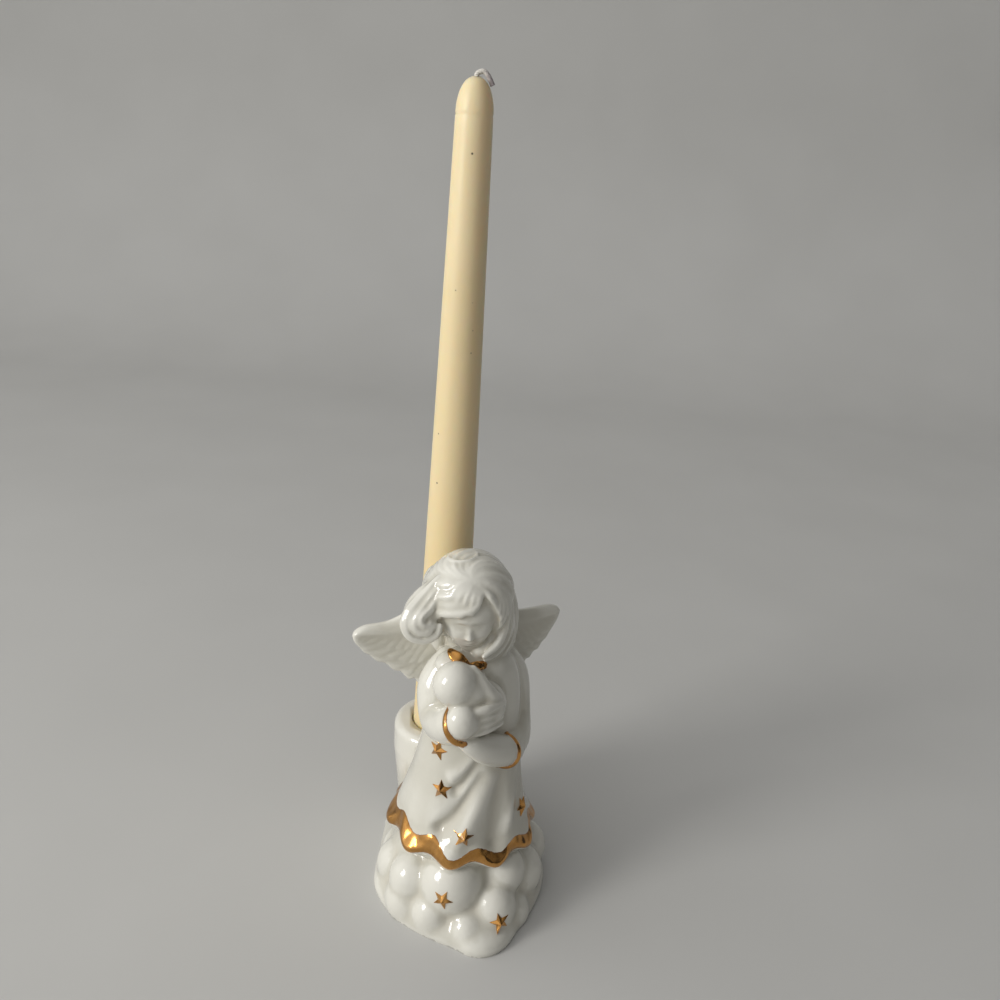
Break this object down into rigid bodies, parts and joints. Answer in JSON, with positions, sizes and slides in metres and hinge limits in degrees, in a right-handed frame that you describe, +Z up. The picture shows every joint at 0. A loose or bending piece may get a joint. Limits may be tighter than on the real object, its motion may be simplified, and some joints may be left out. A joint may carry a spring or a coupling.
{
  "type": "angel candle holder",
  "caption": "Glazed porcelain child angel in a flared robe on a cloud, with gold trims, holding a bundle; a round cup behind the robe holds a tall taper candle.",
  "frame": {"origin": "middle of the flat sole, straight under the robe's hem", "axes": "+Z up along the candle, -Y the way the figure faces, +Y towards the candle cup"},
  "size_m": [0.0831, 0.0925, 0.299],
  "materials": {
    "glazed_porcelain": "warm white gloss glaze with bright gold lustre on collar, cuffs, hem and stars",
    "candle_wax": "cream wax with a soft satin sheen",
    "wick_cotton": "pale braided cotton"
  },
  "bodies": {
    "root": {"figurine": "glazed_porcelain", "candle": "candle_wax", "wick": "wick_cotton"}
  },
  "joints": []
}
